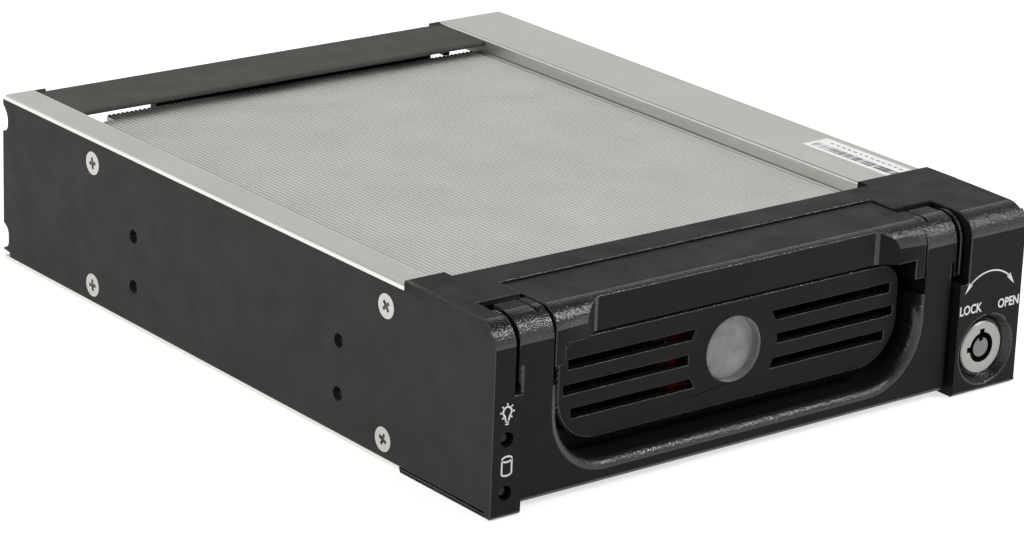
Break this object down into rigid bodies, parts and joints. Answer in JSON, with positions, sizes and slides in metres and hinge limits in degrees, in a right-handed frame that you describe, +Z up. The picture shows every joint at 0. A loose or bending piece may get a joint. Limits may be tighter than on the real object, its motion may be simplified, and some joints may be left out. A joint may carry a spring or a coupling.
{
  "type": "hot swap drive cage",
  "caption": "Drive cage for a 5.25 inch bay: a keyed sliding tray for a 3.5 inch drive, with a folding pull handle, status lens, slotted grille and ribbed aluminium lid.",
  "frame": {"origin": "centre of the footprint on the underside: x = 0 on the middle of the cage body, y = 0 halfway between the bezel's front plane and the rear edge, z = 0 on the underside", "axes": "+X to the right seen from the front, on the key lock's side; +Y from the front bezel to the rear; +Z up"},
  "size_m": [0.1472, 0.1894, 0.0419],
  "materials": {
    "side_plastic": "fine-textured black side moulding",
    "bezel_plastic": "spark-textured black front moulding",
    "handle_plastic": "spark-textured black moulding",
    "rear_plastic": "dark grey-brown textured moulding",
    "guide_plastic": "plain black moulding",
    "satin_aluminium": "satin natural aluminium",
    "bright_steel": "nickel plated",
    "lock_chrome": "satin nickel lock face",
    "lock_black": "black keyway",
    "board_green": "green circuit board",
    "board_red": "red circuit board",
    "connector_black": "moulded connector black",
    "connector_white": "moulded connector, natural white",
    "led_resin": "tinted resin",
    "reflector_white": "white film",
    "clear_lens": "clear moulded lens"
  },
  "bodies": {
    "cage": {"side_panel_left": "side_plastic", "side_panel_right": "side_plastic", "top_rail_left": "satin_aluminium", "top_rail_right": "satin_aluminium", "bottom_plate": "satin_aluminium", "guide_rail_left": "guide_plastic", "guide_rail_right": "guide_plastic", "front_bezel": "bezel_plastic", "rear_frame": "rear_plastic", "backplane_board": "board_green", "board_screws": "bright_steel", "sata_socket": "connector_black", "data_port": "connector_black", "power_port": "connector_white", "side_screws": "bright_steel", "base_screws": "bright_steel", "led_board": "board_green", "status_leds": "led_resin", "lock_barrel": "lock_chrome", "lock_nut": "bright_steel"},
    "lock": {"lock_core": "lock_black", "lock_cam": "bright_steel", "cam_screw": "bright_steel"},
    "tray": {"tray_pan": "satin_aluminium", "tray_rear_wall": "guide_plastic", "drive_rail_left": "guide_plastic", "drive_rail_right": "guide_plastic", "tray_bezel": "bezel_plastic", "front_grille": "handle_plastic", "status_lens": "clear_lens", "lens_reflector": "reflector_white", "status_board": "board_red", "indicator_led": "led_resin", "tray_screws": "bright_steel", "hinge_pins": "bright_steel"},
    "handle": {"tray_handle": "handle_plastic"},
    "lid": {"tray_lid": "satin_aluminium"}
  },
  "joints": [
    {"name": "tray_slide", "type": "slide", "parent": "cage", "child": "tray", "axis": [0, -1, 0], "range_m": [0, 0.175]},
    {"name": "handle_swing", "type": "hinge", "parent": "tray", "child": "handle", "pos_m": [-0.0056, -0.087, 0.0354], "axis": [-1, 0, 0], "range_deg": [0, 90]},
    {"name": "lock_turn", "type": "hinge", "parent": "cage", "child": "lock", "pos_m": [0.0638, -0.0782, 0.0096], "axis": [0, -1, 0], "range_deg": [0, 90]},
    {"name": "lid_slide", "type": "slide", "parent": "tray", "child": "lid", "axis": [0, 1, 0], "range_m": [0, 0.012]}
  ]
}
